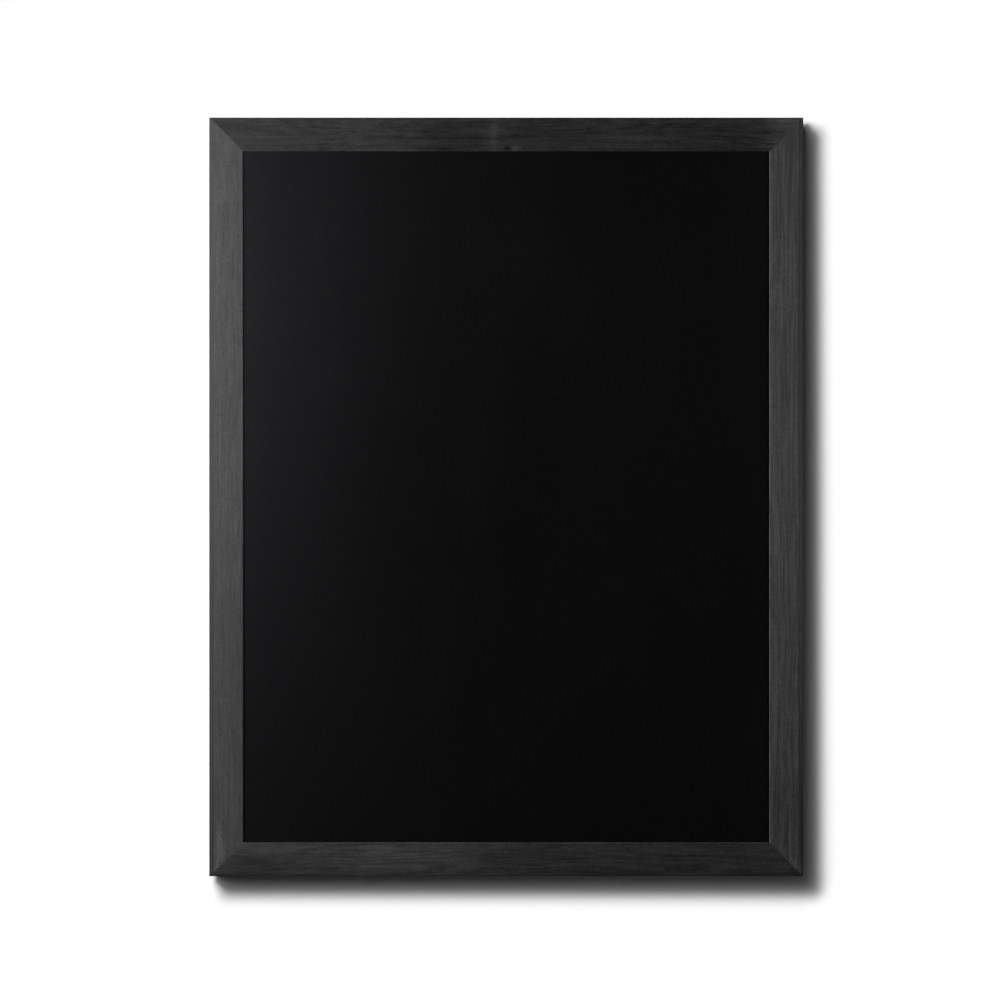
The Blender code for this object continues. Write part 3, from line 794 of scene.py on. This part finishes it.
def hardboard():
    material, tree, shader = newMaterial("pressed_fibre", board["roughness"], specular=0.35)
    place = objectPlace(tree)
    fibres = noiseOf(tree, place, board["fibres"], 4.0, 0.65, 1.5)
    clumps = noiseOf(tree, place, board["clumps"], 5.0, 0.72, 0.8, shift=(4, 0, 2))
    cloud = noiseOf(tree, place, board["cloud"], 5.0, 0.7)
    flecks = noiseOf(tree, place, board["flecks"], 2.0, shift=(3, 1, 2))
    shade = blendOf(tree, 0.42, (fibres, 0.9), (clumps, 0.95), (cloud, 0.35))
    shade = scaled(tree, ramp(tree, flecks, 0.62, 0.72), 0.22, shade, clamp=True)
    colour = mixColour(tree, shade, board["colour"], board["pale"])
    rough = blendOf(tree, board["roughness"], (fibres, 0.2))
    parts = partsOf(tree, place)
    turns = 2 * math.pi / board["screenPitch"]
    waves = [calc(tree, calc(tree, parts[axis], turns, "MULTIPLY"), operation="SINE") for axis in "XZ"]
    screen = calc(tree, calc(tree, *waves, "MULTIPLY"), 0.5, "MULTIPLY")
    height = blendOf(tree, screen, (fibres, 0.8), (clumps, 0.6))
    coat(tree, shader, colour, rough, height, 0.12 * mm, 0.8)
    return material


# Metal and rubber

metals = {
    "bright_steel": {"colour": (0.50, 0.50, 0.49), "dull": (0.30, 0.30, 0.30), "roughness": 0.36},
    "zinc_plate": {"colour": (0.60, 0.61, 0.62), "dull": (0.40, 0.41, 0.42), "roughness": 0.32},
}
metalCells = {"cloud": 260, "scratch": (5200, 5200, 420), "pits": 2600}  # to a metre


def plainMetal(slot):
    note = metals[slot]
    material, tree, shader = newMaterial("metal_" + slot, note["roughness"], metallic=1.0)
    place = objectPlace(tree)
    cloud = noiseOf(tree, place, metalCells["cloud"], 4.0, 0.6, 0.4)
    scratch = noiseOf(tree, place, metalCells["scratch"], 2.0, shift=(2, 0, 1))
    pits = ramp(tree, noiseOf(tree, place, metalCells["pits"], 2.0), 0.64, 0.74)
    shade = blendOf(tree, 0.4, (cloud, 0.8), (scratch, 0.3), (pits, 0.3))
    colour = mixColour(tree, shade, note["colour"], note["dull"])
    rough = blendOf(tree, note["roughness"], (cloud, 0.22), (scratch, 0.15), (pits, 0.2))
    coat(tree, shader, colour, rough, blendOf(tree, 0.5, (scratch, 0.5), (pits, -0.5)), 0.02 * mm, 0.6)
    return material


rubber = {
    "colour": (0.016, 0.016, 0.016),
    "dusty": (0.045, 0.044, 0.042),
    "roughness": 0.74,
    "dust": 420,  # cells to a metre
    "skin": 3000,
}


def blackRubber():
    material, tree, shader = newMaterial("moulded_rubber", rubber["roughness"], specular=0.4)
    place = objectPlace(tree)
    dust = noiseOf(tree, place, rubber["dust"], 5.0, 0.65)
    skin = noiseOf(tree, place, rubber["skin"], 3.0, 0.5)
    colour = mixColour(tree, ramp(tree, dust, 0.45, 0.75), rubber["colour"], rubber["dusty"])
    coat(tree, shader, colour, blendOf(tree, rubber["roughness"], (dust, 0.2)), skin, 0.05 * mm, 0.6)
    return material


def dressFlatPanels():
    for node, material in (("writing_sheet", writingSurface()), ("backing_board", hardboard())):
        paint(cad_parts[node], material)
    print("panel dressed")


# Hardware: each piece keeps its CAD form, with its edges eased and its finish

easing = {"segments": 3, "from": 32, "crease": 40}  # angles in degrees
hardware = {
    "v_nail": {"slot": "bright_steel", "ease": 0.06 * mm},
    "panel_tab": {"slot": "bright_steel", "ease": 0.10 * mm},
    "strap": {"slot": "zinc_plate", "ease": 0.22 * mm},
}


def finer(node, ease, body, material):
    item = objectFrom(solidOf(node), node + "_eased")
    bevel = item.modifiers.new("eased", "BEVEL")
    bevel.width = ease
    bevel.segments = easing["segments"]
    bevel.limit_method = "ANGLE"
    bevel.angle_limit = math.radians(easing["from"])
    bakeModifiers(item)
    smooth(item, easing["crease"])
    paint(item, material)
    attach(item, body)
    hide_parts(node)


# A D-shaped ring of round wire: its bar runs through the strap's eye and its bow leans on the wood
ring = {
    "slot": "zinc_plate",
    "wire": 1.1 * mm,
    "halfWidth": 8.4 * mm,
    "reach": 13.0 * mm,
    "corner": 2.0 * mm,
    "lean": 6.85,  # degrees from upright
    "sides": 20,
    "cornerSteps": 12,
    "bowSteps": 48,
}


def bend(centre, radius, start, end, count):
    angles = [math.radians(start + (end - start) * i / count) for i in range(count + 1)]
    return [(centre[0] + radius * math.cos(a), centre[1] + radius * math.sin(a)) for a in angles]


def makeRing(side, material):
    node = side + "_ring"
    half, corner, wire = ring["halfWidth"], ring["corner"], ring["wire"]
    path = bend((corner - half, corner), corner, 180, 270, ring["cornerSteps"])
    path += bend((half - corner, corner), corner, 270, 360, ring["cornerSteps"])
    path += bend((0, ring["reach"] - half), half, 0, 180, ring["bowSteps"])
    low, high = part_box(node)
    pivot = Vector(((low.x + high.x) / 2, high.y - wire, low.z + wire))
    place = Matrix.Translation(pivot) @ Matrix.Rotation(math.radians(90 + ring["lean"]), 4, "X")
    shell = bmesh.new()
    rows = []
    for i, point in enumerate(path):
        ahead = Vector(path[(i + 1) % len(path)]) - Vector(path[i - 1])
        out = Vector((ahead.y, -ahead.x, 0)).normalized()
        centre = Vector((*point, 0))
        row = []
        for j in range(ring["sides"]):
            angle = 2 * math.pi * j / ring["sides"]
            offset = out * wire * math.cos(angle) + Vector((0, 0, wire * math.sin(angle)))
            row.append(shell.verts.new(place @ (centre + offset)))
        rows.append(row)
    for i, row in enumerate(rows):
        bridge(shell, row, rows[(i + 1) % len(rows)])
    bmesh.ops.recalc_face_normals(shell, faces=shell.faces)
    item = objectFrom(shell, node + "_wire")
    item.data.shade_smooth()
    paint(item, material)
    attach(item, side + "_hanging_ring")
    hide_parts(node)


def turnedShell(profile, segments):
    # spin a profile round Y; its first and last points lie on the axis
    shell = bmesh.new()
    rows = []
    for radius, height in profile:
        row = []
        for i in range(segments if radius else 1):
            angle = 2 * math.pi * i / segments
            row.append(shell.verts.new((radius * math.cos(angle), height, radius * math.sin(angle))))
        rows.append(row)
    for upper, lower in zip(rows, rows[1:]):
        for i in range(segments):
            j = (i + 1) % segments
            if len(upper) == 1:
                shell.faces.new((upper[0], lower[i], lower[j]))
            elif len(lower) == 1:
                shell.faces.new((upper[i], lower[0], upper[j]))
            else:
                shell.faces.new((upper[i], lower[i], lower[j], upper[j]))
    bmesh.ops.recalc_face_normals(shell, faces=shell.faces)
    return shell


screw = {
    "head": 3.1 * mm,
    "crown": 2.1 * mm,
    "rim": 0.7 * mm,
    "edge": 0.15 * mm,
    "dome": (0.42, 0.58, 14),  # its flat top's share, the curve's share, and its steps
    "shank": 1.4 * mm,
    "point": 3.0 * mm,
    "sides": 48,
    "crease": 34,
    "recess": 3.6 * mm,
    "recessSlot": 0.95 * mm,
    "recessDepth": 1.5 * mm,
    "recessTop": 0.4 * mm,  # how far its cutter stands over the crown
    "taper": ((1.15, 1.05), (0.45, 0.7)),  # its length and slot at the top and at the bottom
    "turns": (12, 71, 38, 55),  # where each recess stopped, in degrees
}


def screwProfile(length):
    s = screw
    flat, curve, count = s["dome"]
    points = [(0, s["crown"])]
    for i in range(1, count + 1):
        angle = math.pi / 2 * i / count
        radius = s["head"] * (flat + curve * math.sin(angle)) if i < count else s["head"]
        points.append((radius, s["rim"] + (s["crown"] - s["rim"]) * math.cos(angle)))
    points += [(s["head"], s["edge"]), (s["head"] - s["edge"], 0), (s["shank"], 0)]
    points += [(s["shank"], -length + s["point"]), (0, -length)]
    return points


def recessCutter(place):
    whole = bmesh.new()
    for turn in (0, 90):
        spin = Matrix.Rotation(math.radians(turn), 4, "Y")
        made = bmesh.ops.create_cube(whole, size=1.0)["verts"]
        for vert in made:
            deep = vert.co.y < 0
            long, wide = screw["taper"][deep]
            x = vert.co.x * screw["recess"] * long
            z = vert.co.z * screw["recessSlot"] * wide
            y = -screw["recessDepth"] if deep else screw["recessTop"]
            vert.co = spin @ Vector((x, y, z))
    item = objectFrom(whole, "recess")
    item.matrix_world = place @ Matrix.Translation((0, screw["crown"], 0))
    return item


def makeScrew(node, turn, material):
    low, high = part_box(node)
    centre = (low + high) / 2
    seat = high.y - screw["crown"]
    place = Matrix.Translation((centre.x, seat, centre.z)) @ Matrix.Rotation(math.radians(turn), 4, "Y")
    shell = turnedShell(screwProfile(seat - low.y), screw["sides"])
    shell.transform(place)
    item = objectFrom(shell, node + "_turned")
    applyCut(item, recessCutter(place), selfCrossing=True)
    smooth(item, screw["crease"])
    paint(item, material)
    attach(item, "board")
    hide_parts(node)


pad = {
    "face": 5.2 * mm,
    "base": 6.2 * mm,
    "dish": 0.15 * mm,
    "edge": 0.8 * mm,
    "foot": (0.3 * mm, 0.1 * mm),  # the bevel at its base, up and in
    "sweep": 1.6,  # how the side runs out towards the base
    "steps": {"dish": 6, "edge": 8, "side": 6},
    "sides": 56,
    "crease": 40,
}


def padProfile(tall):
    inner = pad["face"] - pad["edge"]
    counts = pad["steps"]
    points = [(0, tall - pad["dish"])]
    for i in range(1, counts["dish"] + 1):
        share = i / counts["dish"]
        points.append((inner * i / counts["dish"], tall - pad["dish"] * (1 - share**2)))
    for i in range(1, counts["edge"] + 1):
        angle = math.pi / 2 * i / counts["edge"]
        radius = inner + pad["edge"] * math.sin(angle)
        points.append((radius, tall - pad["edge"] * (1 - math.cos(angle))))
    for i in range(1, counts["side"]):
        share = i / counts["side"]
        radius = pad["face"] + (pad["base"] - pad["face"]) * share ** pad["sweep"]
        points.append((radius, (tall - pad["edge"]) * (1 - share)))
    up, inwards = pad["foot"]
    return points + [(pad["base"], up), (pad["base"] - inwards, 0), (0, 0)]


def makePad(node, material):
    low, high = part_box(node)
    centre = (low + high) / 2
    shell = turnedShell(padProfile(high.y - low.y), pad["sides"])
    shell.transform(Matrix.Translation((centre.x, low.y, centre.z)))
    item = objectFrom(shell, node + "_moulded")
    smooth(item, pad["crease"])
    paint(item, material)
    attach(item, "board")
    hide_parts(node)


def makeHardware():
    finishes = {slot: plainMetal(slot) for slot in metals}
    black = blackRubber()
    nodes = sorted(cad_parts)
    for node in nodes:
        if node.startswith("wall_pad"):
            makePad(node, black)
        for kind, note in hardware.items():
            if kind in node:
                finer(node, note["ease"], "board", finishes[note["slot"]])
    screws = [n for n in nodes if n.endswith("screw")]
    for node, turn in zip(screws, screw["turns"]):
        makeScrew(node, turn, finishes["bright_steel"])
    for side in ("left", "right"):
        makeRing(side, finishes[ring["slot"]])
    print("hardware made")


# Room: a white wall, a pale floor, soft light from the left

room = {
    "wallBehind": 0.4 * mm,
    "floorZ": -1.9,
    "reach": 3.0,  # beyond it all is white
    "wallColour": 0.12,
    "grading": 3.57,  # how fast its paint pales away from the soft box
    "palest": 0.85,
    "floorColour": 0.40,
    "worldFront": 0.0347,  # what the room sends back to the board's face
    "worldBack": 0.55,  # and to its back
    "worldTurn": (0.1, 0.7),  # how far round to the back the one gives way to the other
    "fill": 0.022,  # share of white that the whole room gives the wall
    "fillSpread": 150,
    "floorLight": (30, 1.1),  # degrees from upright, and the share of white it gives the floor
    "floorSpread": 20,
}

# The soft box that throws the board's shadow on the wall, as two panes in one plane:
# where each hangs left, out and up of the board's middle, its length, width and share of white
shadowBox = [
    {"place": (-1.816, -1.88, 1.983), "size": (1.73, 1.39), "share": 0.638},
    {"place": (-1.758, -1.88, 1.925), "size": (4.79, 1.41), "share": 0.390},
]

# Soft boxes for the board: columns of panes, each pane at its height with its watts.
# Those without glint raise the tone of the board's sides and don't show on its edges
lamps = {
    "near": {
        "x": -0.9, "y": -0.7, "size": (0.5, 0.3),
        "panes": [(0.35, 1.45), (0.05, 1.99), (-0.25, 2.35), (-0.55, 2.02), (-0.85, 2.43)],
    },
    "mid": {
        "x": -0.72, "y": -0.95, "size": (0.5, 0.3),
        "panes": [(0.35, 2.07), (0.05, 2.40), (-0.25, 1.95), (-0.55, 0.27)],
    },
    "right": {"x": 1.2, "y": -1.0, "size": (0.6, 0.5), "panes": [(0.2, 3.07), (-0.4, 3.74)]},
    "rear": {"x": -0.6, "y": 1.6, "size": (1.2, 1.2), "panes": [(1.5, 30.0)]},
    "leftSide": {"x": -1.8, "y": 0.9, "size": (0.8, 0.8), "panes": [(-0.35, 16.0)], "glint": False},
    "rightSide": {"x": 1.8, "y": 0.9, "size": (0.8, 0.8), "panes": [(-0.35, 20.0)], "glint": False},
}


def bareMaterial(name):
    material = bpy.data.materials.new(name)
    material.use_nodes = True
    material.node_tree.nodes.clear()
    return material, material.node_tree


def paleWall():
    # its paint grades away from the soft box, so that the light on it looks even
    material, tree = bareMaterial("pale_wall")
    lamp = Vector(shadowBox[0]["place"])
    spot = Vector((middleX + lamp.x, boardHigh.y + lamp.y, middleZ + lamp.z))
    inputs = {0: objectPlace(tree), 1: tuple(spot)}
    away = addNode(tree, "ShaderNodeVectorMath", inputs, operation="DISTANCE").outputs["Value"]
    even = calc(tree, calc(tree, away, 1 / lamp.length, "MULTIPLY"), room["grading"], "POWER")
    level = calc(tree, calc(tree, even, room["wallColour"], "MULTIPLY"), room["palest"], "MINIMUM")
    return seenFromFront(material, tree, level)


def paleFloor():
    material, tree = bareMaterial("pale_floor")
    level = room["floorColour"]
    return seenFromFront(material, tree, (level, level, level, 1.0))


def seenFromFront(material, tree, colour):
    matt = addNode(tree, "ShaderNodeBsdfDiffuse", {"Color": colour})
    clear = addNode(tree, "ShaderNodeBsdfTransparent")
    behind = addNode(tree, "ShaderNodeNewGeometry").outputs["Backfacing"]
    both = addNode(tree, "ShaderNodeMixShader", {0: behind, 1: matt.outputs[0], 2: clear.outputs[0]})
    addNode(tree, "ShaderNodeOutputMaterial", {"Surface": both.outputs[0]})
    return material


def stagePlane(name, corners, material):
    mesh = bpy.data.meshes.new(name)
    mesh.from_pydata(corners, [], [(0, 1, 2, 3)])
    item = newObject(name, mesh)
    mesh.materials.append(material)
    item.visible_diffuse = item.visible_glossy = item.visible_transmission = False
    item.visible_shadow = False
    return item


def makeRoom():
    reach, floorZ = room["reach"], room["floorZ"]
    wallY = boardHigh.y + room["wallBehind"]
    wallEnds = ((-reach, floorZ), (reach, floorZ), (reach, reach), (-reach, reach))
    floorEnds = ((-reach, -reach), (reach, -reach), (reach, reach), (-reach, reach))
    wall = stagePlane("wall", [(x, wallY, z) for x, z in wallEnds], paleWall())
    floor = stagePlane("floor", [(x, y, floorZ) for x, y in floorEnds], paleFloor())
    return wall, floor


def linkGroup(name, items, state):
    group = bpy.data.collections.new(name)
    for item in items:
        group.objects.link(item)
    for entry in group.collection_objects:
        entry.light_linking.link_state = state
    return group


def aimAt(item, point):
    direction = Vector(point) - item.location
    item.rotation_euler = direction.to_track_quat("-Z", "Y").to_euler()


def softPane(name, place, size, watts):
    data = bpy.data.lights.new(name, "AREA")
    data.shape = "RECTANGLE"
    data.size, data.size_y = size
    data.energy = watts
    item = newObject(name, data)
    item.location = place
    item.visible_camera = False
    return item


def farLight(name, lean, turn, spread, energy, receivers):
    # an even light from far off, leaning so many degrees from straight on and turned to the left
    data = bpy.data.lights.new(name, "SUN")
    data.energy = energy
    data.angle = math.radians(spread)
    item = newObject(name, data)
    lean, turn = math.radians(lean), math.radians(turn)
    out = math.sin(lean)
    item.location = (-out * math.cos(turn), -math.cos(lean), out * math.sin(turn))
    aimAt(item, (0, 0, 0))
    item.light_linking.receiver_collection = receivers


def wattsFor(pane):
    # what makes the wall behind the board's middle show the pane's share of white
    left, out, up = pane["place"]
    long, wide = pane["size"]
    half = math.sqrt(0.5)
    count = 9  # places along each side of the pane
    seen = 0.0
    for i in range(count):
        for j in range(count):
            a = ((i + 0.5) / count - 0.5) * long * half
            b = ((j + 0.5) / count - 0.5) * wide * half
            x, z = left - a - b, up - a + b
            seen += out**2 / (x**2 + out**2 + z**2) ** 2
    return pane["share"] * math.pi**2 * count**2 / (room["wallColour"] * seen)


def makeLamps(wall, floor):
    board = linkGroup("lit_board_only", [wall, floor], "EXCLUDE")
    wallOnly = linkGroup("lit_wall_only", [wall], "INCLUDE")
    floorOnly = linkGroup("lit_floor_only", [floor], "INCLUDE")
    for name, note in lamps.items():
        for height, watts in note["panes"]:
            item = softPane(name, (note["x"], note["y"], height), note["size"], watts)
            aimAt(item, (0, 0, (height + middleZ) / 2))
            item.light_linking.receiver_collection = board
            item.visible_glossy = note.get("glint", True)
    for pane in shadowBox:
        left, out, up = pane["place"]
        place = (middleX + left, boardHigh.y + out, middleZ + up)
        item = softPane("shadow_box", place, pane["size"], wattsFor(pane))
        facing = Matrix.Rotation(math.radians(90), 4, "X") @ Matrix.Rotation(math.radians(45), 4, "Z")
        item.rotation_euler = facing.to_euler()
        item.light_linking.receiver_collection = wallOnly
    energy = room["fill"] * math.pi / room["wallColour"]
    farLight("wall_fill", 0, 0, room["fillSpread"], energy, wallOnly)
    lean, share = room["floorLight"]
    energy = share * math.pi / (room["floorColour"] * math.cos(math.radians(lean)))
    farLight("floor_light", 90, 90 - lean, room["floorSpread"], energy, floorOnly)


pureWhite = (1, 1, 1, 1)


def makeWorld():
    world = bpy.data.worlds.new("studio")
    bpy.context.scene.world = world
    world.use_nodes = True
    tree = world.node_tree
    tree.nodes.clear()
    facing = addNode(tree, "ShaderNodeTexCoord").outputs["Generated"]
    y = partsOf(tree, facing)["Y"]
    level = ramp(tree, y, *room["worldTurn"], room["worldFront"], room["worldBack"])
    seen = addNode(tree, "ShaderNodeLightPath").outputs["Is Camera Ray"]
    dim = addNode(tree, "ShaderNodeBackground", {"Color": pureWhite, "Strength": level})
    white = addNode(tree, "ShaderNodeBackground", {"Color": pureWhite, "Strength": 1.0})
    both = addNode(tree, "ShaderNodeMixShader", {0: seen, 1: dim.outputs[0], 2: white.outputs[0]})
    addNode(tree, "ShaderNodeOutputWorld", {"Surface": both.outputs[0]})


bpy.context.scene.view_settings.view_transform = "Standard"
placeCamera()
print("camera placed")
dressFlatPanels()
makeMembers()
makeHardware()
makeLamps(*makeRoom())
makeWorld()
print("room lit")
